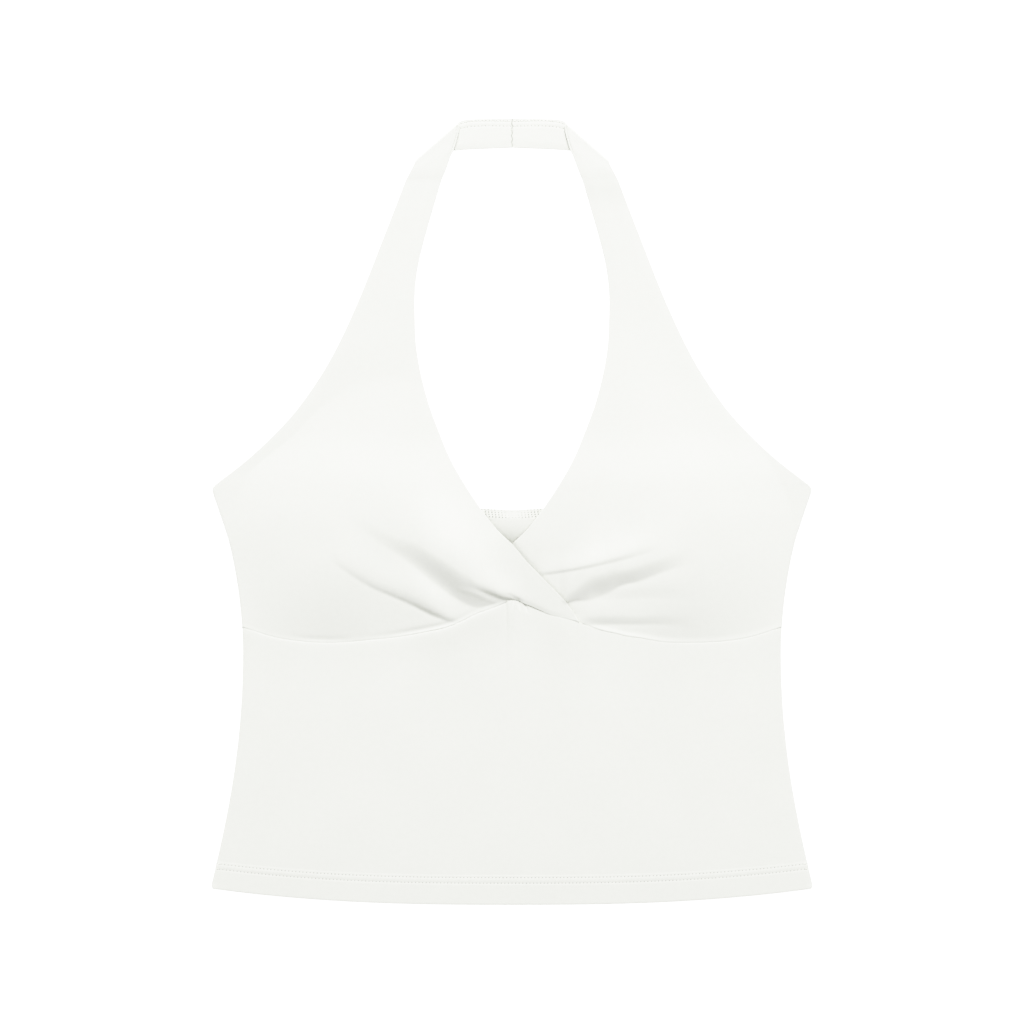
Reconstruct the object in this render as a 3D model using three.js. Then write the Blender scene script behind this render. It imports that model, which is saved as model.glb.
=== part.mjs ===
// A halter neck top, laid flat on its back panel with the front facing up.
//
// Millimetres, +Z up. +Y points from the hem to the neck, and the origin is at the bottom centre of the
// whole garment, on the surface that it lies on.
//
// The garment is cut in four pieces. The back panel is flat. The front panel lies on it, from the hem to the
// seam under the bust. Each of the two cups is one long piece: it starts at the seam under the bust, narrows to
// a strap, is folded back over itself beside the neck, and ends at the seam at the centre back of the neck.
// The over cup laps on the under cup below the neckline's V, and both are gathered towards the centre front.
//
// "up" is a distance from the hem's lowest point towards the neck, and "side" a distance from the centre line.
import * as THREE from "three";

// Driving dimensions
const LENGTH = 550; // hem to the back of the neck
const PANEL_CLOTH = 1.2; // one layer of jersey with its air
const CUP_CLOTH = 1.6; // the cups and straps are self-lined
const GAP = 0.3; // between pieces that are sewn or lie on each other
const UNDERARM_UP = 291.6; // the corner where armhole and side seam meet
const BUST_CROWN = 8.5; // how far the bust stands up from the flat cloth
const CUP_TOP_UP = 430; // the fullness of the bust has run out here
const HEM_RISE = 11.5; // the hem curves up by this much to each side seam
const BACK_NECK_UP = 275; // the back panel's top edge at the centre
const LAP = CUP_CLOTH + GAP + 0.1; // height of the over cup above the under cup
const LAP_END = 46.9; // each cup's inner edge meets the seam this far beyond the centre line

// Half widths of the body, from the hem to the underarm
const SIDE_SEAM = [
  { up: 11.5, side: 210.8 },
  { up: 56, side: 200.9 },
  { up: 96, side: 193.9 },
  { up: 135, side: 189.7 },
  { up: 170, side: 188.2 },
  { up: 194, side: 188.7 },
  { up: 223, side: 191.8 },
  { up: 252, side: 197.4 },
  { up: 272, side: 203.7 },
  { up: 291.6, side: 210.4 },
];

// Outer edge of the cup and strap, from the underarm to the fold beside the neck
const ARMHOLE = [
  { up: 291.6, side: 210.4 },
  { up: 311, side: 185.5 },
  { up: 331, side: 164.2 },
  { up: 350, side: 147.6 },
  { up: 380, side: 127.8 },
  { up: 419, side: 108.9 },
  { up: 468, side: 89.3 },
  { up: 517, side: 70.4 },
];

// Inner edge of a cup: it crosses the centre line at the V, and ends on the seam on the other cup's side
const NECKLINE = [
  { up: 197.8, side: -46.9 },
  { up: 211.7, side: -37.8 },
  { up: 227, side: -23.1 },
  { up: 240, side: -10.5 },
  { up: 252.3, side: 0 },
  { up: 263, side: 10.9 },
  { up: 277, side: 21.7 },
  { up: 291.6, side: 31.5 },
  { up: 311, side: 42.7 },
  { up: 331, side: 51.1 },
  { up: 350, side: 58.1 },
  { up: 370, side: 63.4 },
  { up: 390, side: 66.9 },
  { up: 409, side: 67.9 },
  { up: 429, side: 67.9 },
  { up: 448, side: 65.5 },
  { up: 468, side: 60.6 },
  { up: 507, side: 50 },
  { up: 525, side: 44.5 },
];

// The seam under the bust, from the centre to the side seam
const BUST_SEAM = [
  { side: 0, up: 212.8 },
  { side: 23, up: 205.1 },
  { side: 43.4, up: 197.8 },
  { side: 63, up: 192.9 },
  { side: 82.6, up: 188.7 },
  { side: 112, up: 184.1 },
  { side: 140, up: 183.8 },
  { side: 164.5, up: 186.9 },
  { side: 188.3, up: 194.3 },
];

// The seam is drawn off its shared curve by this much where the gathers pull it
const SEAM_SHIFT = [
  { x: -188, shift: 0 },
  { x: -113, shift: 0 },
  { x: -99, shift: -0.4 },
  { x: -85, shift: -1 },
  { x: -46, shift: -1.1 },
  { x: -37, shift: -1.7 },
  { x: -26, shift: -0.6 },
  { x: -15, shift: -0.5 },
  { x: -7, shift: -0.3 },
  { x: 2, shift: 0.6 },
  { x: 12, shift: 0 },
  { x: 23, shift: 0 },
  { x: 34, shift: 0.9 },
  { x: 44, shift: 0.7 },
  { x: 60, shift: 0 },
  { x: 188, shift: 0 },
];

// How far out the fullness of the bust reaches, a smooth curve inside the side seam and armhole
const BUST_REACH = [
  { up: 180, side: 188 },
  { up: 230, side: 192 },
  { up: 270, side: 194 },
  { up: 300, side: 182 },
  { up: 330, side: 158 },
  { up: 370, side: 134 },
  { up: 430, side: 108 },
];

// Folds where the cup steps down towards the seam, gathered towards the centre front. The rows follow the line at
// the foot of the step: how far the cloth drops, over what width, and how sharp the foot is, from 0 for a soft
// slope to 1 for a crease. Above the step the cloth stays raised for "reach".
const OVER_STEPS = [
  {
    name: "crease",
    reach: 14,
    rows: [
      { x: -127, up: 241, drop: 0, width: 5, sharp: 0.6 },
      { x: -119, up: 235.6, drop: 0.5, width: 5, sharp: 0.7 },
      { x: -99.4, up: 223, drop: 1.2, width: 6, sharp: 0.8 },
      { x: -85.4, up: 216.8, drop: 1.6, width: 6.5, sharp: 0.9 },
      { x: -71.4, up: 210.8, drop: 2.2, width: 7.5, sharp: 1 },
      { x: -57.4, up: 203.9, drop: 2.7, width: 7, sharp: 1 },
      { x: -46.9, up: 199.6, drop: 1.8, width: 5, sharp: 1 },
      { x: -40, up: 197.4, drop: 0.6, width: 4, sharp: 1 },
      { x: -35, up: 196.5, drop: 0, width: 4, sharp: 1 },
    ],
  },
  {
    name: "hollow",
    reach: 30,
    rows: [
      { x: -114, up: 266, drop: 0, width: 9, sharp: 0 },
      { x: -99, up: 256.5, drop: 0.4, width: 9, sharp: 0 },
      { x: -85.4, up: 248, drop: 1, width: 10, sharp: 0.05 },
      { x: -71.4, up: 239, drop: 2.5, width: 13, sharp: 0.1 },
      { x: -57.4, up: 227.5, drop: 4.6, width: 16, sharp: 0.1 },
      { x: -46.9, up: 219.2, drop: 5.7, width: 18, sharp: 0.12 },
      { x: -36.4, up: 212.6, drop: 6.1, width: 19, sharp: 0.25 },
      { x: -25.9, up: 209.2, drop: 5.6, width: 18, sharp: 0.3 },
      { x: -15.4, up: 209.6, drop: 3.9, width: 13, sharp: 0.5 },
      { x: -8, up: 212, drop: 2.4, width: 8, sharp: 0.6 },
      { x: 0, up: 214, drop: 1, width: 6, sharp: 0.5 },
      { x: 8, up: 214, drop: 0, width: 6, sharp: 0.5 },
    ],
  },
];
const UNDER_STEPS = [
  {
    name: "shelf",
    reach: 11,
    rows: [
      { x: 18, up: 230, drop: 0, width: 3, sharp: 1 },
      { x: 23, up: 230.6, drop: 0.8, width: 2.5, sharp: 1 },
      { x: 33.6, up: 232, drop: 1, width: 2.2, sharp: 1 },
      { x: 44, up: 234, drop: 0.95, width: 2.4, sharp: 1 },
      { x: 54.6, up: 236.6, drop: 0.8, width: 2.8, sharp: 0.9 },
      { x: 65, up: 239, drop: 0.75, width: 3, sharp: 0.8 },
      { x: 75.6, up: 241.4, drop: 0.75, width: 3.5, sharp: 0.7 },
      { x: 89.6, up: 245, drop: 0.5, width: 5, sharp: 0.6 },
      { x: 103, up: 249, drop: 0, width: 5, sharp: 0.6 },
    ],
  },
  {
    name: "valley",
    reach: 22,
    rows: [
      { x: 34, up: 210.4, drop: 0, width: 7, sharp: 1 },
      { x: 38.5, up: 211, drop: 1.4, width: 7, sharp: 1 },
      { x: 44, up: 213, drop: 2.4, width: 9, sharp: 0.75 },
      { x: 54.6, up: 215, drop: 3.6, width: 15, sharp: 0.2 },
      { x: 65, up: 216.6, drop: 3.8, width: 15, sharp: 0.1 },
      { x: 75.6, up: 223.6, drop: 3.4, width: 11, sharp: 0.4 },
      { x: 89.6, up: 228, drop: 2.7, width: 11, sharp: 0.3 },
      { x: 103.6, up: 233, drop: 1.8, width: 10, sharp: 0.3 },
      { x: 117.6, up: 237, drop: 0.7, width: 11, sharp: 0.3 },
      { x: 131, up: 241, drop: 0, width: 12, sharp: 0.3 },
    ],
  },
  {
    name: "shoulder",
    reach: 12,
    rows: [
      { x: 58, up: 213, drop: 0, width: 8, sharp: 0.2 },
      { x: 70, up: 213.6, drop: 0.5, width: 8, sharp: 0.2 },
      { x: 82, up: 214.2, drop: 0.6, width: 8, sharp: 0.2 },
      { x: 96, up: 214.6, drop: 0.6, width: 9, sharp: 0.2 },
      { x: 112, up: 214.6, drop: 0.5, width: 10, sharp: 0.2 },
      { x: 130, up: 214, drop: 0, width: 10, sharp: 0.2 },
    ],
  },
  {
    name: "tuck",
    reach: 14,
    rows: [
      { x: 44, up: 193, drop: 0, width: 7, sharp: 0.5 },
      { x: 51, up: 194, drop: 1, width: 7, sharp: 0.4 },
      { x: 54.6, up: 195, drop: 1.2, width: 7, sharp: 0.4 },
      { x: 65, up: 196.2, drop: 1.25, width: 6.5, sharp: 0.4 },
      { x: 75.6, up: 196.4, drop: 1.15, width: 6.5, sharp: 0.5 },
      { x: 89.6, up: 196.4, drop: 0.95, width: 6, sharp: 0.5 },
      { x: 103.6, up: 196.4, drop: 0.75, width: 7, sharp: 0.4 },
      { x: 117.6, up: 195, drop: 0.4, width: 9, sharp: 0.2 },
      { x: 132, up: 192, drop: 0, width: 11, sharp: 0.2 },
    ],
  },
];
const FOOT_SOFTNESS = 0.12; // rounds the foot of a crease
// Small puckers in the front panel, where the gathers are caught at the centre of the seam. Each is a trough along a
// line, with the widths of its two flanks, and the shares of its length over which it fades in and out.
const PUCKERS = [
  { name: "left_pucker", from: [-6, 202], to: [-1, 212], bow: 0, upper: 1.8, lower: 1.8, height: -0.5, start: 0.6, end: 0.1 },
  { name: "middle_pucker", from: [3, 199], to: [4, 211.5], bow: 0, upper: 1.8, lower: 1.8, height: -0.6, start: 0.6, end: 0.1 },
  { name: "right_pucker", from: [14, 203], to: [9, 210], bow: 0, upper: 1.8, lower: 1.8, height: -0.4, start: 0.6, end: 0.1 },
];

// The fold beside the neck, and the half of the neck band that lies behind the strap. Sides are of the own half.
const FOLD_OUTER = { side: 69.3, up: 519.8 };
const FOLD_INNER = { side: 39.2, up: 547.8 };
const STRAP_TOP_UP = 507; // the strap's cross rows start to turn towards the fold here
const BAND_LOWER = [
  { along: 0, side: 69.3, up: 519.8 },
  { along: 0.4, side: 45.5, up: 527 },
  { along: 1, side: GAP / 2, up: 529.8 },
];
const BAND_UPPER = [
  { along: 0, side: 39.2, up: 547.8 },
  { along: 0.3, side: 29, up: 549 },
  { along: 1, side: GAP / 2, up: 550 },
];

// Levels of the middle of the cloth, above the surface that the garment lies on
const CUP_ON_FLOOR = CUP_CLOTH / 2;
const CUP_ON_BACK = PANEL_CLOTH + GAP + CUP_CLOTH / 2;
const PANEL_ON_BACK = PANEL_CLOTH + GAP + PANEL_CLOTH / 2;
const STRAP_ON_BAND = CUP_ON_FLOOR + CUP_CLOTH + GAP;

const clamp01 = (t) => Math.min(1, Math.max(0, t));
const smooth = (t) => clamp01(t) ** 2 * (3 - 2 * clamp01(t));
const rise = (t) => Math.sin((Math.PI / 2) * clamp01(t));
const mix = (a, b, t) => a + (b - a) * t;
const softMax = (a, b, blend) => (a + b + Math.hypot(a - b, blend)) / 2;

// A smooth curve through the rows of a table, straight past its two ends.
function curve(rows, key, value, at) {
  const last = rows.length - 1;
  const slope = (i) => {
    const a = rows[Math.max(0, i - 1)];
    const b = rows[Math.min(last, i + 1)];
    return (b[value] - a[value]) / (b[key] - a[key]);
  };
  let i = 0;
  while (i < last - 1 && at > rows[i + 1][key]) i++;
  const step = rows[i + 1][key] - rows[i][key];
  const raw = (at - rows[i][key]) / step;
  const t = clamp01(raw);
  const past = (raw - t) * step * slope(raw < 0 ? i : i + 1);
  return (
    rows[i][value] * (2 * t ** 3 - 3 * t ** 2 + 1) +
    step * slope(i) * (t ** 3 - 2 * t ** 2 + t) +
    rows[i + 1][value] * (3 * t ** 2 - 2 * t ** 3) +
    step * slope(i + 1) * (t ** 3 - t ** 2) +
    past
  );
}

const outerEdge = (up) => curve(up > UNDERARM_UP ? ARMHOLE : SIDE_SEAM, "up", "side", up);
const innerEdge = (up) => curve(NECKLINE, "up", "side", up);
const seamShift = (x) => curve(SEAM_SHIFT, "x", "shift", Math.min(188, Math.max(-188, x)));
const bustSeam = (x) => curve(BUST_SEAM, "side", "up", Math.abs(x)) + seamShift(x);
const hem = (x) => HEM_RISE * (Math.abs(x) / 211) ** 2.6;
const backNeck = (x) => BACK_NECK_UP + (UNDERARM_UP - BACK_NECK_UP) * (Math.abs(x) / 210.4) ** 1.15;

// Height that one fold adds at a point.
function foldHeight(fold, x, up) {
  const [x0, up0] = fold.from;
  const dx = fold.to[0] - x0;
  const dUp = fold.to[1] - up0;
  const length = Math.hypot(dx, dUp);
  const t = ((x - x0) * dx + (up - up0) * dUp) / length ** 2;
  const facing = Math.sign(dx) || 1;
  const across = (facing * ((up - up0) * dx - (x - x0) * dUp)) / length;
  const off = across + fold.bow * 4 * clamp01(t) * (1 - clamp01(t));
  const width = off > 0 ? fold.upper : fold.lower;
  return fold.height * smooth(t / fold.start) * smooth((1 - t) / fold.end) * Math.exp(-((off / width) ** 2));
}
const foldsHeight = (folds, x, up) => folds.reduce((sum, fold) => sum + foldHeight(fold, x, up), 0);

// Level of the strap: on the back panel, down on the surface, and up again on the neck band.
function strapLevel(up) {
  const onBack = smooth((332 - up) / 38);
  const onBand = smooth((up - 488) / 28);
  return CUP_ON_FLOOR + (CUP_ON_BACK - CUP_ON_FLOOR) * onBack + (STRAP_ON_BAND - CUP_ON_FLOOR) * onBand;
}

// Height that a table's folds add above their feet.
function stepsHeight(steps, x, up) {
  const soft = Math.sqrt(FOOT_SOFTNESS);
  return steps.reduce((sum, { rows, reach }) => {
    if (x < rows[0].x || x > rows[rows.length - 1].x) return sum;
    const run = curve(rows, "x", "up", x + 0.5) - curve(rows, "x", "up", x - 0.5);
    const off = (up - curve(rows, "x", "up", x)) / Math.hypot(1, run);
    const width = curve(rows, "x", "width", x);
    const u = clamp01(off / width);
    const rolled = (Math.sqrt(u * (2 - u) + FOOT_SOFTNESS) - soft) / (Math.sqrt(1 + FOOT_SOFTNESS) - soft);
    const profile = mix(smooth(u), rolled, clamp01(curve(rows, "x", "sharp", x)));
    const fading = Math.exp(-((Math.max(off - width, 0) / reach) ** 2));
    return sum + Math.max(curve(rows, "x", "drop", x), 0) * profile * fading;
  }, 0);
}

// The shared fullness of the bust: none at the side seam and the seam below, half of it at the neckline. Towards
// the centre it rises slowly, and the folds carry the rest.
function bust(x, up) {
  const side = Math.hypot(x, 6) - 3;
  const neckline = innerEdge(up);
  const inner = (neckline + Math.hypot(neckline, 14)) / 2 - 5;
  const fromNeckline = 0.5 + 0.5 * rise((side - inner) / 90);
  const fromSide = rise((curve(BUST_REACH, "up", "side", up) - side) / 95);
  const above = up - bustSeam(x);
  const fromSeam = mix(rise(above / 62), rise(above / 115), smooth((132 - side) / 62));
  return BUST_CROWN * fromNeckline * fromSide * fromSeam * smooth((CUP_TOP_UP - up) / 170);
}

// Middle of the cloth of the under cup. Left of the centre it dips below the over cup and lies on the back panel.
function underCupLevel(x, up) {
  const rest = strapLevel(up);
  const shown = softMax(rest, rest + bust(x, up) + stepsHeight(UNDER_STEPS, x, up), 0.3);
  return mix(CUP_ON_BACK, shown, smooth((x + 32) / 32));
}

// Middle of the cloth of the over cup, kept clear of the under cup where it laps on it.
function overCupLevel(x, up) {
  const lifted = LAP * smooth((x + 95) / 50) * smooth((300 - up) / 60);
  const rest = strapLevel(up);
  const own = softMax(rest, rest + bust(x, up) + lifted + stepsHeight(OVER_STEPS, x, up), 0.3);
  const lapped = underCupLevel(x, up) + LAP * smooth((x + 75) / 25);
  return mix(own, softMax(own, lapped, 0.8), smooth((x + 80) / 30) * smooth((268 - up) / 12));
}

// Middle of the cloth of the front panel. Along the seam its right side is level with the cups'.
function frontPanelLevel(x, up) {
  const seam = bustSeam(x);
  const below = seam - up;
  const spread = 4 + 0.8 * below; // the step at the end of the over cup softens below the seam
  const pastLap = smooth((x - LAP_END + spread) / (2 * spread));
  const cups = mix(overCupLevel(Math.min(x, LAP_END), seam), underCupLevel(x, seam), pastLap);
  const lifted = (cups + (CUP_CLOTH - PANEL_CLOTH) / 2 - PANEL_ON_BACK) * Math.exp(-((below / 26) ** 2));
  const air = 1.3 * rise(below / 30) * rise((outerEdge(up) - Math.abs(x)) / 60) * rise((up - hem(x)) / 50);
  return PANEL_ON_BACK + lifted + air + foldsHeight(PUCKERS, x, up);
}

// How far along its row each point lies, as a share of the row's length.
function shares(points) {
  const along = [0];
  for (let i = 1; i < points.length; i++) along.push(along[i - 1] + points[i].distanceTo(points[i - 1]));
  return along.map((length) => length / along[points.length - 1]);
}

// A closed wall of cloth round a sheet given by rows of points. Each row has its own number of points, and "out"
// is the direction of the cloth's right side there.
function clothWall(rows, thickness) {
  const positions = [];
  const triangles = [];
  const half = thickness / 2;
  const starts = rows.map((row, r) => rows.slice(0, r).reduce((sum, other) => sum + other.points.length, 0));
  const count = rows.reduce((sum, row) => sum + row.points.length, 0);
  for (const face of [1, -1])
    for (const row of rows)
      for (const p of row.points) {
        const q = p.clone().addScaledVector(row.out, face * half);
        positions.push(q.x, q.y - LENGTH / 2, q.z);
      }
  const sheet = (a, b, c) => {
    triangles.push(a, b, c);
    triangles.push(count + a, count + c, count + b);
  };
  const edge = (a, b) => {
    triangles.push(a, count + a, count + b);
    triangles.push(a, count + b, b);
  };
  for (let r = 0; r + 1 < rows.length; r++) {
    const low = rows[r].points.length;
    const high = rows[r + 1].points.length;
    const lowShare = shares(rows[r].points);
    const highShare = shares(rows[r + 1].points);
    let i = 0;
    let j = 0;
    while (i < low - 1 || j < high - 1) {
      if (j === high - 1 || (i < low - 1 && lowShare[i + 1] <= highShare[j + 1])) {
        sheet(starts[r] + i, starts[r] + i + 1, starts[r + 1] + j);
        i++;
      } else {
        sheet(starts[r] + i, starts[r + 1] + j + 1, starts[r + 1] + j);
        j++;
      }
    }
    edge(starts[r + 1], starts[r]);
    edge(starts[r] + low - 1, starts[r + 1] + high - 1);
  }
  const top = rows.length - 1;
  for (let i = 0; i + 1 < rows[0].points.length; i++) edge(starts[0] + i, starts[0] + i + 1);
  for (let i = 0; i + 1 < rows[top].points.length; i++) edge(starts[top] + i + 1, starts[top] + i);
  const geometry = new THREE.BufferGeometry();
  geometry.setAttribute("position", new THREE.Float32BufferAttribute(positions, 3));
  geometry.setIndex(triangles);
  geometry.computeVertexNormals();
  return geometry;
}

const evenly = (from, to, steps) => Array.from({ length: steps }, (_, i) => mix(from, to, i / steps));

// Points along the seam under the bust, shared by the pieces on both sides of it, from the side seam inwards.
const seamColumns = (outer) => [...evenly(outer, LAP_END, 24), ...evenly(LAP_END, -LAP_END, 24)];

// The point where a bowed row meets an edge, found by a few rounds of substitution.
function meet(rowUp, edge, guess) {
  let side = guess;
  for (let round = 0; round < 60; round++) side = mix(side, edge(rowUp(side)), 0.5);
  return side;
}

const UP = new THREE.Vector3(0, 0, 1);
const DOWN = new THREE.Vector3(0, 0, -1);

// Rows of a cup from the seam under the bust to the centre back of the neck. "hand" is -1 for the over cup, whose
// own side is at -X, and 1 for the under cup. Points run along +X on every row that faces up.
function cupRows(hand, level) {
  const rows = [];
  const addPoints = (sides, upAt, zAt, out) => {
    const points = sides.map((side, i) => {
      const up = upAt(side, i / (sides.length - 1));
      return new THREE.Vector3(hand * side, up, zAt(hand * side, up));
    });
    rows.push({ points: hand < 0 ? points : points.reverse(), out });
  };
  const addRow = (outer, inner, steps, upAt, zAt, out) =>
    addPoints([...evenly(outer, inner, steps), inner], upAt, zAt, out);

  // From the seam under the bust, bowed rows that straighten towards the V
  const straightUp = 258;
  const bowedRows = 20;
  const bowedSteps = 56;
  const seamUp = (side) => bustSeam(hand * side) + GAP / 2;
  addPoints([...seamColumns(meet(seamUp, outerEdge, 189)), -LAP_END], seamUp, level, UP);
  for (let r = 1; r < bowedRows; r++) {
    const share = (r / bowedRows) ** 1.1;
    const rowUp = (side) => mix(seamUp(side), straightUp, share);
    const outer = meet(rowUp, outerEdge, 189);
    const inner = meet(rowUp, innerEdge, mix(-LAP_END, 5, share));
    addRow(outer, inner, bowedSteps, rowUp, level, UP);
  }

  // Straight rows up the cup and the strap, with one at the corner of the underarm
  const ups = [258, 266, 274, 283, UNDERARM_UP, 300, 310, 321, 333, 346, 360, 376, 394, 413, 433, 454, 474, 491, STRAP_TOP_UP];
  for (const up of ups) {
    const width = outerEdge(up) - innerEdge(up);
    const spacing = mix(5.5, 8.5, smooth((up - 258) / 150));
    addRow(outerEdge(up), innerEdge(up), Math.max(4, Math.round(width / spacing)), () => up, level, UP);
  }

  // The strap turns over a line beside the neck. The line lies inside the outline by the cloth's outer radius.
  const radius = (STRAP_ON_BAND - CUP_ON_FLOOR) / 2;
  const inset = radius + CUP_CLOTH / 2;
  const runSide = FOLD_INNER.side - FOLD_OUTER.side;
  const runUp = FOLD_INNER.up - FOLD_OUTER.up;
  const run = Math.hypot(runSide, runUp);
  const inward = { side: runUp / run, up: runSide / run }; // in the strap's own half, before it is mirrored
  const foldAt = (end, shift) => ({ side: end.side - inward.side * shift, up: end.up + inward.up * shift });
  const strapSteps = 4;
  const turnRow = (outer, inner, zAt, out) =>
    addRow(outer.side, inner.side, strapSteps, (side, t) => mix(outer.up, inner.up, t), zAt, out);
  const turning = 4;
  const foldOuter = foldAt(FOLD_OUTER, inset);
  const foldInner = foldAt(FOLD_INNER, inset);
  const strapOuter = { side: outerEdge(STRAP_TOP_UP), up: STRAP_TOP_UP };
  const strapInner = { side: innerEdge(STRAP_TOP_UP), up: STRAP_TOP_UP };
  const between = (a, b, t) => ({ side: mix(a.side, b.side, t), up: mix(a.up, b.up, t) });
  for (let r = 1; r <= turning; r++) {
    const t = r / turning;
    turnRow(between(strapOuter, foldOuter, t), between(strapInner, foldInner, t), (x, up) => strapLevel(up), UP);
  }
  const bends = 6;
  for (let b = 1; b < bends; b++) {
    const angle = (Math.PI * b) / bends;
    const shift = inset - radius * Math.sin(angle);
    const z = (STRAP_ON_BAND + CUP_ON_FLOOR) / 2 + radius * Math.cos(angle);
    const out = new THREE.Vector3(
      hand * inward.side * Math.sin(angle),
      -inward.up * Math.sin(angle),
      Math.cos(angle),
    );
    turnRow(foldAt(FOLD_OUTER, shift), foldAt(FOLD_INNER, shift), () => z, out);
  }

  // Behind the strap, half of the neck band, wrong side up, to the seam at the centre back
  const bandRows = 6;
  for (let r = 0; r <= bandRows; r++) {
    const t = r / bandRows;
    const at = (rows, corner) => {
      const shift = 1 - smooth(t * 2);
      const side = curve(rows, "along", "side", t) + (corner.side - rows[0].side) * shift;
      return { side, up: curve(rows, "along", "up", t) + (corner.up - rows[0].up) * shift };
    };
    turnRow(at(BAND_LOWER, foldOuter), at(BAND_UPPER, foldInner), () => CUP_ON_FLOOR, DOWN);
  }
  return rows;
}

// Rows of the front panel, from the hem to the seam under the bust.
function frontPanelRows() {
  const rows = [];
  const bodyRows = 14;
  for (let r = 0; r <= bodyRows; r++) {
    const share = 1 - (1 - r / bodyRows) ** 1.5;
    const rowUp = (side) => mix(hem(side), bustSeam(side) - GAP / 2, share);
    const outer = meet(rowUp, outerEdge, 190);
    const steps = Math.round(mix(24, 52, share ** 2));
    const plain = evenly(-1, 1, steps).map((across) => outer * mix(across, across ** 3, 0.4 * share));
    const sewn = seamColumns(outer);
    const atSeam = [...sewn.map((x) => -x), LAP_END, ...sewn.slice(0, 24).reverse()];
    const xs = r < bodyRows ? [...plain, outer] : atSeam;
    rows.push({ points: xs.map((x) => new THREE.Vector3(x, rowUp(x), frontPanelLevel(x, rowUp(x)))), out: UP });
  }
  return rows;
}

// The back panel is flat, so it is its outline, given its thickness.
function backPanelGeometry() {
  const outline = [];
  const hemSteps = 24;
  const sideSteps = 26;
  const neckSteps = 24;
  const hemCorner = SIDE_SEAM[0].side;
  for (let i = 0; i < hemSteps; i++) {
    const x = mix(-hemCorner, hemCorner, i / hemSteps);
    outline.push([x, hem(x)]);
  }
  for (let i = 0; i < sideSteps; i++) {
    const up = mix(SIDE_SEAM[0].up, UNDERARM_UP, i / sideSteps);
    outline.push([outerEdge(up), up]);
  }
  for (let i = 0; i < neckSteps; i++) {
    const x = mix(210.4, -210.4, i / neckSteps);
    outline.push([x, backNeck(x)]);
  }
  for (let i = 0; i < sideSteps; i++) {
    const up = mix(UNDERARM_UP, SIDE_SEAM[0].up, i / sideSteps);
    outline.push([-outerEdge(up), up]);
  }
  const shape = new THREE.Shape(outline.map(([x, up]) => new THREE.Vector2(x, up - LENGTH / 2)));
  return new THREE.ExtrudeGeometry(shape, { depth: PANEL_CLOTH, bevelEnabled: false });
}

const jersey = (color) => new THREE.MeshStandardMaterial({ color, roughness: 0.85, metalness: 0 });

function piece(name, geometry, color) {
  const mesh = new THREE.Mesh(geometry, jersey(color));
  mesh.name = name;
  return mesh;
}

const halterTop = new THREE.Group();
halterTop.add(
  piece("back_panel", backPanelGeometry(), "#f1f2ed"),
  piece("front_panel", clothWall(frontPanelRows(), PANEL_CLOTH), "#f3f4ef"),
  piece("under_cup", clothWall(cupRows(1, underCupLevel), CUP_CLOTH), "#f5f6f1"),
  piece("over_cup", clothWall(cupRows(-1, overCupLevel), CUP_CLOTH), "#f6f7f2"),
);

export default halterTop;
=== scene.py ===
# A halter neck top in fine white jersey, laid flat on its back, in Blender.
#
# Sizes are in millimetres until a mesh is made. "up" is a distance from the hem's lowest point towards
# the neck, "side" a distance from the centre line, and x runs to the wearer's left, the picture's right.
# Each of the four sewn pieces is a thin shell on the form of its CAD solid: a sheet of middle points with
# a wall round it.
import math

import bpy
import numpy as np
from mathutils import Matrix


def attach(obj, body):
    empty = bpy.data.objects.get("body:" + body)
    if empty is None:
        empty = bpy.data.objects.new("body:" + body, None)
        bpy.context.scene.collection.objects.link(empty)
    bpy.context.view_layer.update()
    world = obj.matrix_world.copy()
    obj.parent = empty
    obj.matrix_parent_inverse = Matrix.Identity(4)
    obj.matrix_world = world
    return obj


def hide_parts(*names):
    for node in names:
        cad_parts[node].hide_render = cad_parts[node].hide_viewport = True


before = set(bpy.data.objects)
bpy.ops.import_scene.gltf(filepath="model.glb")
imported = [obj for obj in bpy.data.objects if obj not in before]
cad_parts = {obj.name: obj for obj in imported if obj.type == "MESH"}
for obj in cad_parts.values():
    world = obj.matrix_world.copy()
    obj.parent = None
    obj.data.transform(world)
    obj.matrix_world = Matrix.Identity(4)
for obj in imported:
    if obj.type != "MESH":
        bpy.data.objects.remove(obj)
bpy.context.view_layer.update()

MM = 0.001

# Driving dimensions, the same as the CAD model's
LENGTH = 550.0
UNDERARM_UP = 291.6
BUST_CROWN = 8.5
CUP_TOP_UP = 430.0
HEM_RISE = 11.5
BACK_NECK_UP = 276.3
CAD_CUP = 1.6
CAD_PANEL = 1.2
CAD_GAP = 0.3
LAP = CAD_CUP + CAD_GAP + 0.1
LAP_END = 46.9
STRAP_TOP_UP = 507.0
HEM_HALF_WIDTH = 211.0
BAND_LENGTH = 66.0
# Where a cup's rows stop following the seam, and where its strap lifts off the back and climbs on to the band
BOWED_TOP_UP = 258.0
STRAP_OFF_BACK_UP = 332.0
STRAP_ON_BAND_UP = 488.0

SHARP_ANGLE = math.radians(62)
# Points across each piece, and how a finished edge rounds off
CUP_COLUMNS = 168
FRONT_COLUMNS = 290
BACK_COLUMNS = 200
EDGE_STEPS = np.array([0, 0.03, 0.12, 0.3, 0.6])
EDGE_REACH = 0.32
# How much a strap rounds away towards its edges, and how far in
CROWN = 0.35
CROWN_REACH = 7
# How much closer together a cup's points lie towards the V
TOWARDS_V = 0.35
# First guess of a row's half width, and a distance that is no edge
SIDE_GUESS = 190.0
FAR = 99

# Thickness of the cloth that shows
CUP_CLOTH = 1.3
PANEL_CLOTH = 0.9

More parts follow.
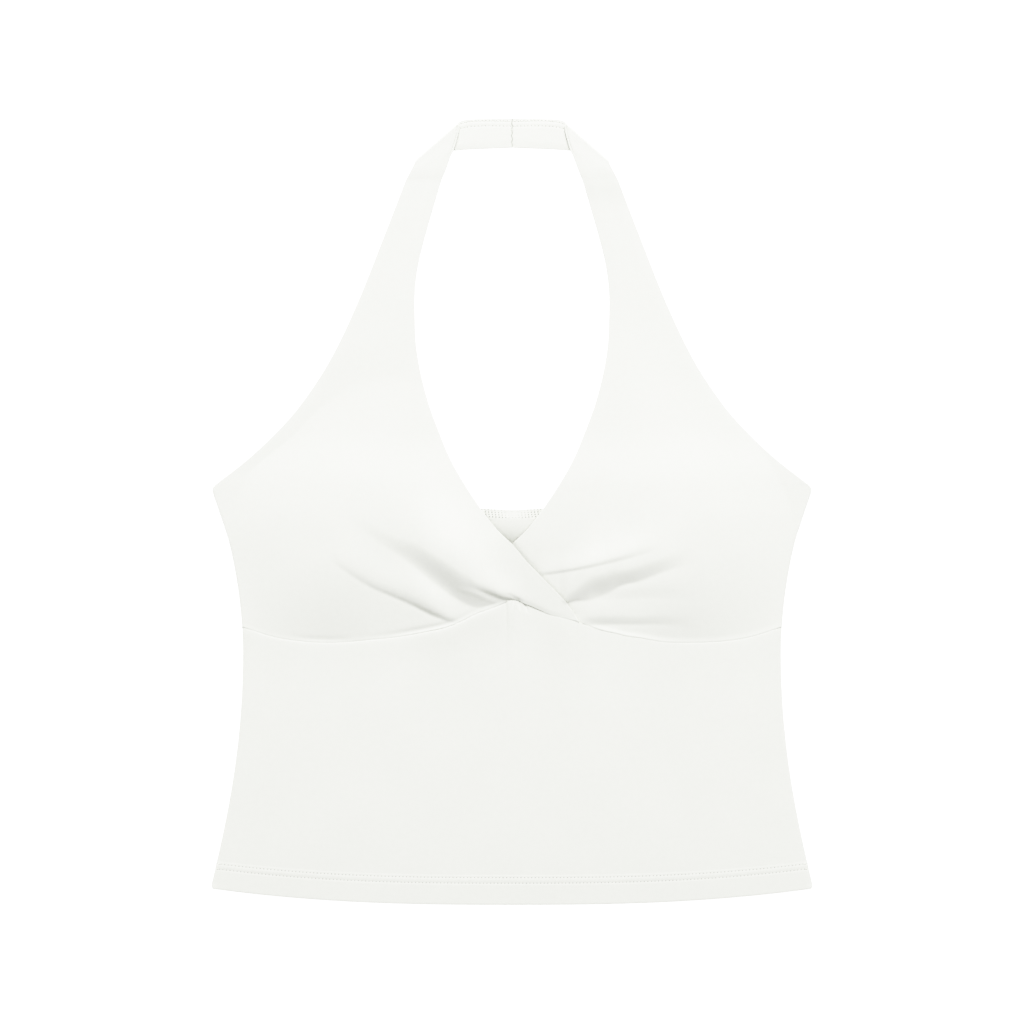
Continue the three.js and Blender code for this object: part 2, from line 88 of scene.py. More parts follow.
# Levels of the middle of the cloth above the surface
CUP_ON_FLOOR = CAD_CUP / 2
CUP_ON_BACK = CAD_PANEL + CAD_GAP + CAD_CUP / 2
PANEL_ON_BACK = CAD_PANEL + CAD_GAP + CAD_PANEL / 2
STRAP_ON_BAND = CUP_ON_FLOOR + CAD_CUP + CAD_GAP

# Half widths of the body: up, side
SIDE_SEAM = [(11.5, 210.8), (56, 200.9), (96, 193.9), (135, 189.7), (170, 188.2), (194, 188.7),
             (223, 191.8), (252, 197.4), (272, 203.7), (291.6, 210.4)]
# Outer edge of cup and strap: up, side
ARMHOLE = [(291.6, 210.4), (311, 185.5), (331, 164.2), (350, 147.6), (380, 127.8), (419, 108.9),
           (468, 89.3), (517, 70.4)]
# Inner edge of a cup, on both sides of the V: up, side
NECKLINE = [(197.8, -46.9), (211.7, -37.8), (227, -23.1), (240, -10.5), (252.3, 0), (263, 10.9),
            (277, 21.7), (291.6, 31.5), (311, 42.7), (331, 51.1), (350, 58.1), (370, 63.4), (390, 66.9),
            (409, 67.9), (429, 67.9), (448, 65.5), (468, 60.6), (507, 49.3), (525, 43.8)]
# The seam under the bust: side, up
BUST_SEAM = [(0, 212.8), (23, 205.1), (43.4, 197.8), (63, 192.9), (82.6, 188.7), (112, 184.1), (140, 183.8),
             (164.5, 186.9), (188.3, 194.3)]
SEAM_PEAK_UP = BUST_SEAM[0][1]
# How far out the fullness of the bust reaches: up, side
BUST_REACH = [(180, 188), (230, 192), (270, 194), (300, 183), (330, 165), (370, 140), (430, 110)]

# Folds where the cloth steps down towards the seam. "reach" is how far above the step the cloth stays
# raised, and "dip" is how far it sinks along the foot, as a share of the drop. The rows follow the line
# at the foot of the step: x, up, drop, width, and how sharp the foot is, from 0 for a soft slope to 1
# for a crease.
OVER_STEPS = {
    "crease": dict(reach=14, dip=0.06, rows=[
        (-127, 241, 0, 5, 0.6), (-119, 235.6, 0.5, 5, 0.7), (-99.4, 223, 1.2, 6, 0.8),
        (-85.4, 216.8, 1.6, 6.5, 0.9), (-71.4, 210.8, 2.2, 7.5, 1), (-57.4, 203.9, 2.7, 7, 1),
        (-46.9, 199.6, 1.8, 5, 1), (-40, 197.4, 0.6, 4, 1), (-35, 196.5, 0, 4, 1)]),
    "hollow": dict(reach=30, dip=0.06, rows=[
        (-114, 266, 0, 9, 0), (-99, 256.5, 0.4, 9, 0), (-85.4, 248, 1.0, 10, 0.05),
        (-71.4, 239, 2.5, 13, 0.1), (-57.4, 227.5, 5.0, 16, 0.1), (-46.9, 219.6, 6.3, 18, 0.12),
        (-36.4, 213.0, 6.9, 19, 0.25), (-25.9, 208.4, 5.8, 19, 0.35), (-15.4, 209.6, 3.8, 13, 0.5),
        (-8, 212, 1.9, 8, 0.6), (0, 214, 0.7, 6, 0.5), (8, 214, 0, 6, 0.5)]),
}
OVER_FINE_STEPS = {
    "hollow_line": dict(reach=10, dip=0.15, rows=[
        (-32, 225.5, 0, 4, 0.5), (-24, 221.0, 0.5, 4, 0.8), (-15.4, 217.4, 1.5, 4.5, 1),
        (-8.4, 214.7, 1.7, 3.4, 1), (-3.5, 213.5, 1.5, 3, 1), (2, 213.3, 0.9, 2.5, 1),
        (9, 212, 0, 2.5, 1)]),
}
UNDER_STEPS = {
    "shelf": dict(reach=8, dip=0.05, rows=[
        (18, 230.2, 0, 3, 0.8), (23, 230.9, 0.5, 2.4, 0.8), (33.6, 232.4, 0.7, 2.4, 0.8),
        (44, 234.2, 0.8, 2.4, 0.9), (54.6, 236.4, 0.8, 2.4, 0.9), (65, 238.7, 0.75, 3, 0.8),
        (75.6, 241.2, 0.8, 3.5, 0.7), (89.6, 245, 0.5, 5, 0.6), (103, 249, 0, 5, 0.6)]),
    "valley": dict(reach=22, dip=0.06, rows=[
        (34, 210.4, 0, 7, 0.8), (38.5, 211, 1.5, 7, 0.8), (44, 212.6, 2.5, 9, 0.6),
        (54.6, 213.6, 4.3, 16, 0.2), (65, 217.2, 4.5, 14, 0.15), (75.6, 223.4, 3.8, 11, 0.4),
        (89.6, 227, 3.1, 11, 0.35), (103.6, 232.4, 2.1, 10, 0.35), (117.6, 237, 0.7, 11, 0.3),
        (131, 241, 0, 12, 0.3)]),
    "shoulder": dict(reach=12, dip=0, rows=[
        (58, 213, 0, 8, 0.2), (70, 213.6, 0.5, 8, 0.2), (82, 214.2, 0.6, 8, 0.2), (96, 214.6, 0.6, 9, 0.2),
        (112, 214.6, 0.5, 10, 0.2), (130, 214, 0, 10, 0.2)]),
    "tuck": dict(reach=14, dip=0.12, rows=[
        (44, 193, 0, 7, 0.5), (51, 194, 1.0, 7, 0.4), (54.6, 195, 1.2, 7, 0.4), (65, 196.2, 1.25, 6.5, 0.4),
        (75.6, 196.4, 1.15, 6.5, 0.5), (89.6, 196.4, 0.95, 6, 0.5), (103.6, 196.4, 0.75, 7, 0.4),
        (117.6, 195, 0.4, 9, 0.2), (132, 192, 0, 11, 0.2)]),
}
# Narrow ridges and creases: x, up, height, width
OVER_LINES = {
    "hollow_ridge": [(-42, 223, 0, 1.6), (-34, 220.5, 0.15, 1.6), (-24, 217, 0.3, 1.4),
                     (-15.4, 213, 0.25, 1.2), (-9, 211.5, 0, 1.2)],
    "band_tuck": [(-4, 217.6, 0, 0.7), (-1, 216.4, -0.35, 0.7), (4, 213.9, -0.45, 0.7), (7, 212.6, 0, 0.7)],
}
# Short creases in the front panel below the seam's peak: x and up of the lower end, height, width
PUCKERS = [(0.7, 203.5, -0.5, 0.75), (6.4, 204.5, -0.8, 0.7), (11.5, 203, -0.8, 0.8)]
# Along the seam under the bust: x, how deep the cup sinks beside it, how far its edge rises again, how
# far the front panel's edge lies below the cup's, and how high the panel swells beside it
SEAM_FORM = [(-188, 0.05, 0.1, 0.05, 0.2), (-155, 0.08, 0.1, 0.05, 0.2), (-140, 0.35, 0.1, 0.05, 0.2),
             (-122, 0.3, 0.1, 0.05, 0.2), (-110, 0.05, 0.1, 0.05, 0.2), (-88, 0.25, 0.1, 0.05, 0.25),
             (-71, 0.6, 0.1, 0.05, 0.4), (-47, 0.6, 0.1, 0.05, 0.45), (-36, 0.3, 0.05, 0.1, 0.4),
             (-15, 0.1, 0, 0.15, 0.35), (-4, 0, -0.4, 0.5, 0.1), (3, 0, -0.6, 0.8, 0),
             (9, 0, -0.6, 1.05, 0), (16, 0, -0.6, 1.05, 0), (22, 0, -0.55, 0.75, 0),
             (28, 0, -0.35, 0.35, 0), (36, 0, -0.3, 0.2, 0), (43, 0, -0.3, 0.3, 0),
             (48, 0, 0.1, 0.15, 0), (56, 0, 0.5, 0.2, 0), (80, 0, 0.7, 0.15, 0),
             (110, 0, 0.5, 0.1, 0.05), (130, 0, 0.35, 0.1, 0.1), (188, 0, 0.2, 0.1, 0.15)]
# How far the seam lies off the table that both sides share: x, distance up
SEAM_SHIFT = [(-188, 0), (-113, 0), (-99, -0.4), (-85, -1.4), (-71, -2.0), (-57, -2.5), (-47, -2.7),
              (-37, -2.2), (-26, -0.8), (-15, -0.5), (-7, 0), (-3, 0.8), (0.5, 0.5), (4.5, 1.6),
              (8, 0.9), (14, 0.5), (22, -0.4), (27, -0.8), (35, 0.25), (44, 1.3), (49, 0.5), (55, -0.1),
              (64, -0.9), (72, -0.7), (79, -1.1), (90, -0.7), (107, -0.8), (121, -0.2), (140, 0),
              (188, 0)]

# The fold beside the neck and the half of the band behind it, in the piece's own half: side, up
FOLD_OUTER = np.array((69.3, 519.8))
FOLD_INNER = np.array((38.2, 546.9))
# How far the fold's corners reach past it, and how deep the line is beside its turned edge
FOLD_CORNER_OUTER = 1.6
FOLD_CORNER_INNER = 0.8
TURNED_EDGE = 0.5
# The seam under the bust: gap to each side of it, and how deep and wide the line along it is
SEAM_GAP = 0.01
SEAM_LINE = 0.14
SEAM_REACH = 0.3
# How soft a step's foot is, how far the back panel swells inside the V, how deep the over cup presses into
# the under cup, and how uneven the seam behind the neck is
FOOT_SOFTNESS = 0.03
V_BULGE = 2.6
PRESSED = 0.9
SEAM_WOBBLE = 0.25
# Share by which the hem narrows towards the sides, and how far its corners draw in
HEM_TAPER = 0.06
HEM_CORNER = 1.6
# The band's two edges, from the fold to its middle: share of the way along, side, up
BAND_LOWER = [(0, 69.3, 519.8), (0.4, 45.5, 527), (1, 0.01, 529.8)]
BAND_UPPER = [(0, 38.2, 546.9), (0.06, 36.8, 547.9), (0.13, 34.3, 548.9), (0.22, 30.6, 549.5),
              (0.4, 23.4, 549.8), (1, 0.01, 550.1)]
# How far the strap's inner edge lies inside a straight line from its top to the fold: share, distance
INNER_TURN = [(0, 0), (0.25, 0.9), (0.46, 1.2), (0.54, 2.1), (0.75, 1.9), (0.9, 1.4), (1, 0)]

# Sewing
STITCH_PITCH = 2.5
STITCH_LENGTH = 1.6
STITCH_LIFT = -0.08
THREAD = 0.5
HEM_STITCH_ROWS = (15.2, 19.1)
# How far the doubled hem stands above the panel
HEM_FOLD = 0.22
# Heights above the hem between which rows of points lie close together
SEWN_ZONE = (13, 21.5)
BACK_TOP_ROWS = (1.2, 5.8)
# A stitch from end to end: share of its length, then its middle's height and its thickness as shares of the
# thread's radius
STITCH_FORM = [(0, -1, 0.7), (0.12, -0.25, 0.95), (0.3, 0.1, 1), (0.5, 0.2, 1), (0.7, 0.1, 1),
               (0.88, -0.25, 0.95), (1, -1, 0.7)]
# Looper threads: radius, and how far from the centre line they run
LOOPER_RADIUS = 0.16
LOOPER_REACH = 204
# Rows of painted shade in the gaps between the looper threads: distance from the top, and how much paler the
# shade is
LOOPER_ROWS = [(5.6, 0.0), (4.0, 0.1), (2.4, 0.15), (0.8, 0.25)]
LOOPER_PITCH = 2.3
# The two rows along the top of the neck band: side, up
NECK_STITCH_ROWS = [
    [(37.6, 545.5), (32.5, 547.5), (24.7, 548.4), (16.9, 548.5), (0.6, 548.3)],
    [(38.4, 542.5), (34.3, 543.4), (27.6, 544.5), (16.9, 544.9), (0.6, 544.6)],
]


def clamp01(t):
    return np.clip(t, 0.0, 1.0)


def smooth(t):
    t = clamp01(t)
    return t * t * (3 - 2 * t)


def rise(t):
    return np.sin(np.pi / 2 * clamp01(t))


def mix(a, b, t):
    return a + (b - a) * t


def soft_max(a, b, blend):
    return (a + b + np.hypot(a - b, blend)) / 2


def curve(rows, at, value=1):
    """A smooth curve through a table's rows, from its first column to another, straight past its two ends."""
    keys = np.array([row[0] for row in rows], float)
    values = np.array([row[value] for row in rows], float)
    slopes = np.empty_like(values)
    slopes[1:-1] = (values[2:] - values[:-2]) / (keys[2:] - keys[:-2])
    slopes[0] = (values[1] - values[0]) / (keys[1] - keys[0])
    slopes[-1] = (values[-1] - values[-2]) / (keys[-1] - keys[-2])
    at = np.asarray(at, float)
    i = np.clip(np.searchsorted(keys, at) - 1, 0, len(keys) - 2)
    step = keys[i + 1] - keys[i]
    raw = (at - keys[i]) / step
    t = clamp01(raw)
    inside = (values[i] * (2 * t**3 - 3 * t**2 + 1) + step * slopes[i] * (t**3 - 2 * t**2 + t)
              + values[i + 1] * (3 * t**2 - 2 * t**3) + step * slopes[i + 1] * (t**3 - t**2))
    return inside + (raw - t) * step * np.where(raw < 0, slopes[i], slopes[i + 1])


def outer_edge(up):
    side = np.where(up > UNDERARM_UP, curve(ARMHOLE, up), curve(SIDE_SEAM, up))
    side = side - 1.1 * clamp01(1 - abs(up - UNDERARM_UP) / 3.5) ** 2
    return side - HEM_CORNER * clamp01(1 - (up - HEM_RISE) / 2.4) ** 2


def inner_edge(up):
    return curve(NECKLINE, up)


def bust_seam(x):
    return curve(BUST_SEAM, abs(x)) + curve(SEAM_SHIFT, np.clip(x, SEAM_SHIFT[0][0], SEAM_SHIFT[-1][0]))


def hem(x):
    return HEM_RISE * (abs(x) / HEM_HALF_WIDTH) ** 2.6


def back_neck(x):
    half_width = ARMHOLE[0][1]
    return BACK_NECK_UP + (UNDERARM_UP - BACK_NECK_UP) * (abs(x) / half_width) ** 1.15


def along_line(rows, x, up):
    """Signed distance above a line given by a table's rows, and whether x is within its ends."""
    line = curve(rows, x)
    slope = (curve(rows, x + 0.5) - curve(rows, x - 0.5))
    within = (x > rows[0][0]) & (x < rows[-1][0])
    return (up - line) / np.hypot(1, slope), within


def steps_height(steps, x, up):
    """Height that the steps add above their feet."""
    total = np.zeros(np.broadcast(x, up).shape)
    for step in steps.values():
        rows = step["rows"]
        off, within = along_line(rows, x, up)
        drop = np.where(within, np.maximum(curve(rows, x, 2), 0), 0)
        width = np.maximum(curve(rows, x, 3), 0.5)
        sharp = clamp01(curve(rows, x, 4))
        u = clamp01(off / width)
        rolled = np.sqrt(u * (2 - u) + FOOT_SOFTNESS) - math.sqrt(FOOT_SOFTNESS)
        rolled /= math.sqrt(1 + FOOT_SOFTNESS) - math.sqrt(FOOT_SOFTNESS)
        profile = mix(smooth(u), rolled, sharp)
        profile = profile * np.exp(-((np.maximum(off - width, 0) / step["reach"]) ** 2))
        total += drop * (profile - step["dip"] * np.exp(-((off / (0.35 * width)) ** 2)))
    return total


def lines_height(lines, x, up):
    """Height of narrow ridges, or depth of narrow creases."""
    total = np.zeros(np.broadcast(x, up).shape)
    for rows in lines.values():
        off, within = along_line(rows, x, up)
        total += np.where(within, curve(rows, x, 2), 0) * np.exp(-((off / curve(rows, x, 3)) ** 2))
    return total


def strap_level(up):
    on_back = smooth((STRAP_OFF_BACK_UP - up) / 38)
    on_band = smooth((up - STRAP_ON_BAND_UP) / 28)
    to_back = (CUP_ON_BACK - CUP_ON_FLOOR) * on_back
    to_band = (STRAP_ON_BAND - CUP_ON_FLOOR) * on_band
    return CUP_ON_FLOOR + to_back + to_band


def bust(x, up):
    side = np.hypot(x, 6) - 3
    neckline = inner_edge(up)
    inner = (neckline + np.hypot(neckline, 14)) / 2 - 5
    from_neckline = 0.5 + 0.5 * rise((side - inner) / 90)
    from_side = rise((curve(BUST_REACH, up) - side) / 95)
    above_seam = up - bust_seam(x)
    gathered = smooth((132 - side) / 62)
    from_seam = mix(rise(above_seam / 62), rise(above_seam / 115), gathered)
    return BUST_CROWN * from_neckline * from_side * from_seam * smooth((CUP_TOP_UP - up) / 170)


def edge_dip(distance, depth, reach):
    """The cloth turns down towards a seam or a finished edge."""
    return -depth * np.exp(-distance / reach)


def under_level(x, up):
    rest = strap_level(up)
    shown = soft_max(rest, rest + bust(x, up) + steps_height(UNDER_STEPS, x, up), 0.3)
    return mix(CUP_ON_BACK, shown, smooth((x + 32) / 32))


def over_level(x, up):
    lifted = LAP * smooth((x + 95) / 50) * smooth((300 - up) / 60)
    rest = strap_level(up)
    own = soft_max(rest, rest + bust(x, up) + lifted + steps_height(OVER_STEPS, x, up), 0.3)
    lapped = under_level(x, up) + LAP * smooth((x + 75) / 25)
    return mix(own, soft_max(own, lapped, 0.8), smooth((x + 80) / 30) * smooth((268 - up) / 12))


def seam_form(x, up):
    """The cup's sinking and rising beside the seam under the bust."""
    above = up - bust_seam(x)
    sunk = curve(SEAM_FORM, x, 1) * np.exp(-(((above - 2.2) / 1.7) ** 2))
    raised = curve(SEAM_FORM, x, 2) * np.exp(-((above / 2.1) ** 2))
    return raised - sunk


def pressed_line(x, up):
    """The line that the over cup's edge presses into the under cup."""
    beside = np.maximum(x + inner_edge(up), 0) * 0.72
    broad = 0.55 * np.exp(-((beside / 2.8) ** 2)) * smooth((up - 226) / 12)
    line = broad + 0.35 * np.exp(-((beside / 1.0) ** 2))
    return PRESSED * line * smooth((256 - up) / 4) * smooth((up - bust_seam(x)) / 6)


def under_surface(x, up):
    shown = under_level(x, up) + seam_form(x, up) * smooth((x - 42) / 6)
    shown = shown + edge_dip(up - bust_seam(x), SEAM_LINE, SEAM_REACH)
    return mix(under_level(x, up), shown, smooth((x - 30) / 20)) - pressed_line(x, up)


def over_surface(x, up):
    """The over cup's middle with its finer creases and the roll along the seam."""
    fine = edge_dip(up - bust_seam(x), SEAM_LINE, SEAM_REACH) + steps_height(OVER_FINE_STEPS, x, up)
    fine = fine + lines_height(OVER_LINES, x, up) + seam_form(x, up)
    floor = np.where(x > -20, under_level(x, up) + CUP_CLOTH + 0.1, CUP_ON_BACK)
    shown = np.maximum(over_level(x, up) + fine, mix(CUP_ON_BACK, floor, smooth((x + 20) / 10)))
    return mix(shown, floor, smooth((x - 30) / 14))


def cup_edge_top(x):
    """Height of the cups' upper face along the seam, with a soft step where the over cup ends."""
    up = bust_seam(x) + 1.2
    past_lap = smooth((x - LAP_END + 6) / 20)
    return mix(over_surface(np.minimum(x, LAP_END), up), under_surface(x, up), past_lap) + CUP_CLOTH / 2


def panel_level(x, up):
    below = bust_seam(x) - up
    air = 0.5 * smooth(below / 55) * rise((outer_edge(up) - abs(x)) / 60) * rise((up - hem(x)) / 50)
    at_seam = cup_edge_top(x) - curve(SEAM_FORM, x, 3) - PANEL_CLOTH / 2
    lifted = (at_seam - PANEL_ON_BACK) * np.exp(-((np.maximum(below, 0) / 26) ** 1.6))
    ridge = curve(SEAM_FORM, x, 4) * (1 - np.exp(-below / 1.1)) * np.exp(-((below / 12) ** 2))
    seam_line = edge_dip(np.maximum(below, 0), 0.7 * SEAM_LINE, SEAM_REACH)
    return PANEL_ON_BACK + lifted + ridge + air + seam_line


# The knit's repeat across and along, and the noise in its colour, in metres and per metre
WALE = 0.00052
COURSE = 0.00040
MOTTLE_SCALE = 260.0
BROAD_SCALE = 22.0
BUMP_HEIGHT = 0.00006


def material(name, base, roughness=0.82, sheen=0.2, knit=True, hole=None):
    """A cloth or thread. hole is painted shade at the needle holes of the stitch rows: how dark it paints the
    colour, and how far it reaches across a row and along it.
    """
    mat = bpy.data.materials.new(name)
    mat.use_nodes = True
    nodes = mat.node_tree.nodes
    links = mat.node_tree.links
    nodes.clear()
    out = nodes.new("ShaderNodeOutputMaterial")
    shader = nodes.new("ShaderNodeBsdfPrincipled")
    links.new(shader.outputs["BSDF"], out.inputs["Surface"])
    shader.inputs["Specular IOR Level"].default_value = 0.25
    shader.inputs["Sheen Weight"].default_value = sheen
    shader.inputs["Sheen Roughness"].default_value = 0.6

    def math_node(operation, a, b=None):
        node = nodes.new("ShaderNodeMath")
        node.operation = operation
        for socket, value in zip(node.inputs, (a, b)):
            if value is None:
                continue
            if isinstance(value, (int, float)):
                socket.default_value = value
            else:
                links.new(value, socket)
        return node.outputs[0]

    uv = nodes.new("ShaderNodeUVMap")
    uv.uv_map = "Cloth"
    split = nodes.new("ShaderNodeSeparateXYZ")
    links.new(uv.outputs["UV"], split.inputs[0])

    mottle = nodes.new("ShaderNodeTexNoise")
    mottle.inputs["Scale"].default_value = MOTTLE_SCALE
    mottle.inputs["Detail"].default_value = 4.0
    links.new(uv.outputs["UV"], mottle.inputs["Vector"])
    broad = nodes.new("ShaderNodeTexNoise")
    broad.inputs["Scale"].default_value = BROAD_SCALE
    broad.inputs["Detail"].default_value = 3.0
    links.new(uv.outputs["UV"], broad.inputs["Vector"])

    tint = nodes.new("ShaderNodeValToRGB")
    tint.color_ramp.interpolation = "LINEAR"
    tint.color_ramp.elements[0].position = 0.25
    tint.color_ramp.elements[0].color = (*[c * 0.975 for c in base], 1)
    tint.color_ramp.elements[1].position = 0.75
    tint.color_ramp.elements[1].color = (*[min(1.0, c * 1.012) for c in base], 1)
    shade = math_node("ADD", math_node("MULTIPLY", mottle.outputs["Fac"], 0.5),
                      math_node("MULTIPLY", broad.outputs["Fac"], 0.5))
    # Painted shade: at each needle hole the colour darkens to the tint's darkest stop, in a spot round each
    # whole number of the Needle map's phase, close to the row.
    if hole:
        darkness, reach_across, reach_along = hole
        shaded_hole_stop = tint.color_ramp.elements.new(0.0)
        shaded_hole_stop.color = (*[c * (1 - darkness) for c in base], 1)
        needle = nodes.new("ShaderNodeUVMap")
        needle.uv_map = "Needle"
        place = nodes.new("ShaderNodeSeparateXYZ")
        links.new(needle.outputs["UV"], place.inputs[0])
        from_whole = math_node("SUBTRACT", math_node("FRACT", math_node("ADD", place.outputs["X"], 0.5)), 0.5)
        along_row = math_node("MULTIPLY", from_whole, STITCH_PITCH / reach_along)
        across_row = math_node("DIVIDE", place.outputs["Y"], reach_across)
        spread = math_node("ADD", math_node("POWER", math_node("ABSOLUTE", along_row), 2.0),
                           math_node("POWER", math_node("ABSOLUTE", across_row), 2.0))
        hole_shade_mask = math_node("EXPONENT", math_node("MULTIPLY", spread, -1.0))
        shade = math_node("MULTIPLY", shade, math_node("SUBTRACT", 1.0, hole_shade_mask))
    links.new(shade, tint.inputs["Fac"])
    links.new(tint.outputs["Color"], shader.inputs["Base Color"])

    rough = nodes.new("ShaderNodeMapRange")
    rough.inputs["To Min"].default_value = roughness - 0.06
    rough.inputs["To Max"].default_value = roughness + 0.06
    links.new(mottle.outputs["Fac"], rough.inputs["Value"])
    links.new(rough.outputs["Result"], shader.inputs["Roughness"])

    height = math_node("MULTIPLY", mottle.outputs["Fac"], 0.6)
    if knit:
        across = math_node("MULTIPLY", split.outputs["X"], math.pi / WALE)
        rib = math_node("ABSOLUTE", math_node("SINE", across))
        slant = math_node("MULTIPLY", math_node("ABSOLUTE", math_node("COSINE", across)), 1.9)
        along = math_node("ADD", math_node("MULTIPLY", split.outputs["Y"], 2 * math.pi / COURSE), slant)
        loops = math_node("ADD", math_node("MULTIPLY", math_node("SINE", along), 0.5), 0.5)
        stitch = math_node("MULTIPLY", rib, math_node("ADD", math_node("MULTIPLY", loops, 0.5), 0.5))
        height = math_node("ADD", height, stitch)
    bump = nodes.new("ShaderNodeBump")
    bump.inputs["Strength"].default_value = 0.55
    bump.inputs["Distance"].default_value = BUMP_HEIGHT
    links.new(height, bump.inputs["Height"])
    links.new(bump.outputs["Normal"], shader.inputs["Normal"])
    return mat


def make_mesh(name, vertices, faces, uvs, mat, needle=None):
    """A smooth mesh in metres, with its place in the cloth and, on cloth, its place beside the stitches."""
    mesh = bpy.data.meshes.new(name)
    if isinstance(faces, np.ndarray):
        faces = faces.tolist()
    mesh.from_pydata((np.asarray(vertices) * MM).tolist(), [], faces)
    layer = mesh.uv_layers.new(name="Cloth")
    loops = np.empty(len(mesh.loops), dtype=np.int32)
    mesh.loops.foreach_get("vertex_index", loops)
    layer.data.foreach_set("uv", (np.asarray(uvs)[loops] * MM).astype(np.float32).ravel())
    if needle is not None:
        layer = mesh.uv_layers.new(name="Needle")
        layer.data.foreach_set("uv", np.asarray(needle)[loops].astype(np.float32).ravel())
        mesh.uv_layers.active = mesh.uv_layers["Cloth"]
    mesh.polygons.foreach_set("use_smooth", [True] * len(mesh.polygons))
    mesh.materials.append(mat)
    mesh.validate()
    mesh.set_sharp_from_angle(angle=SHARP_ANGLE)
    obj = bpy.data.objects.new(name, mesh)
    bpy.context.collection.objects.link(obj)
    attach(obj, "root")
    return obj


def cloth_piece(name, middle, out, half, uv, mat, needle):
    """A closed shell round a grid of middle points. half is the half thickness, 0 round the whole edge."""
    rows, cols = half.shape
    top = middle + out * half[..., None]
    low = middle - out * half[..., None]
    top_index = np.arange(rows * cols).reshape(rows, cols)
    low_index = top_index.copy()
    inner = np.zeros((rows, cols), bool)
    inner[1:-1, 1:-1] = True
    low_index[inner] = rows * cols + np.arange(inner.sum())
    vertices = np.vstack([top.reshape(-1, 3), low[inner]])
    vertices[:, 1] -= LENGTH / 2
    uvs = np.vstack([uv.reshape(-1, 2), uv[inner]])
    needles = np.vstack([needle.reshape(-1, 2), needle[inner]])

    def quads(index, flip):
        a, b = index[:-1, :-1].ravel(), index[:-1, 1:].ravel()
        c, d = index[1:, 1:].ravel(), index[1:, :-1].ravel()
        return np.stack([a, d, c, b] if flip else [a, b, c, d], axis=1)

    faces = np.vstack([quads(top_index, False), quads(low_index, True)])
    return make_mesh(name, vertices, faces, uvs, mat, needle=needles)


def round_edge(distance, radius):
    """Share of the full thickness at a distance from a rounded edge."""
    t = clamp01(distance / radius)
    return np.sqrt(np.maximum(0, 1 - (1 - t) ** 2))


def spaced(start, end, spacing):
    count = max(1, int(round((end - start) / spacing)))
    return list(np.linspace(start, end, count, endpoint=False))


def across_row(width, count, radius, weight=0.0):
    """Distances of a row's points from its first end, closer together at both ends."""
    t = np.linspace(0, 1, count)
    t = t + weight * t * (1 - t)
    first = radius * EDGE_STEPS
    return np.concatenate([first, radius + (width - 2 * radius) * t, width - first[::-1]])


def meet(row_up, edge, guess):
    side = np.array(guess, float)
    for _ in range(60):
        side = mix(side, edge(row_up(side)), 0.5)
    return side


def distance_to_path(x, up, path):
    """Distance of each point to a line through the path's points."""
    best = np.full(np.broadcast(x, up).shape, 1e9)
    for (x0, u0), (x1, u1) in zip(path[:-1], path[1:]):
        dx, du = x1 - x0, u1 - u0
        t = clamp01(((x - x0) * dx + (up - u0) * du) / (dx * dx + du * du))
        best = np.minimum(best, np.hypot(x - x0 - t * dx, up - u0 - t * du))
    return best


def dense_path(points, step=0.5):
    """A smooth path through a few points, as many points a step apart."""
    points = np.array(points, float)
    keys = np.concatenate([[0], np.cumsum(np.hypot(*np.diff(points, axis=0).T))])
    at = np.arange(0, keys[-1], step)
    rows_x = list(zip(keys, points[:, 0]))
    rows_up = list(zip(keys, points[:, 1]))
    return np.stack([curve(rows_x, at), curve(rows_up, at)], axis=1)


def first_stitch(length):
    """Where the first stitch starts on a row of a given length, so that the row is centred."""
    return ((length - STITCH_LENGTH) % STITCH_PITCH) / 2


def stitch_phase(line, x):
    """Position along a row of stitches, in stitches, with a needle hole at each whole number."""
    line = line[np.argsort(line[:, 0])]
    keys = np.concatenate([[0], np.cumsum(np.linalg.norm(np.diff(line, axis=0), axis=1))])
    first = first_stitch(keys[-1]) - (STITCH_PITCH - STITCH_LENGTH) / 2
    return (np.interp(x, line[:, 0], keys) - first) / STITCH_PITCH


def needle_coordinates(x, distances, lines):
    """Phase along the nearest of some rows of stitches, and distance from it."""
    distances = np.array(distances)
    nearest = np.argmin(abs(distances), axis=0)
    phases = np.array([stitch_phase(line, x) for line in lines])
    take = (nearest, np.arange(len(x)))
    return np.stack([phases[take], distances[take]], axis=1)


def no_needle(x):
    return np.tile((0.5, 9.0), (len(x), 1))


def crowned(from_one_edge, from_other):
    """How a strap rounds away towards both edges."""
    return CROWN * (rise(from_one_edge / CROWN_REACH) * rise(from_other / CROWN_REACH) - 0.5)


def between(outer_point, inner_point):
    """Points of a straight row across a strap, their distances from its outer end, and its length."""
    width = np.linalg.norm(inner_point - outer_point)
    t = across_row(width, CUP_COLUMNS, EDGE_REACH)[:, None] / width
    points = outer_point + (inner_point - outer_point) * t
    return points[:, 0], points[:, 1], t[:, 0] * width, width


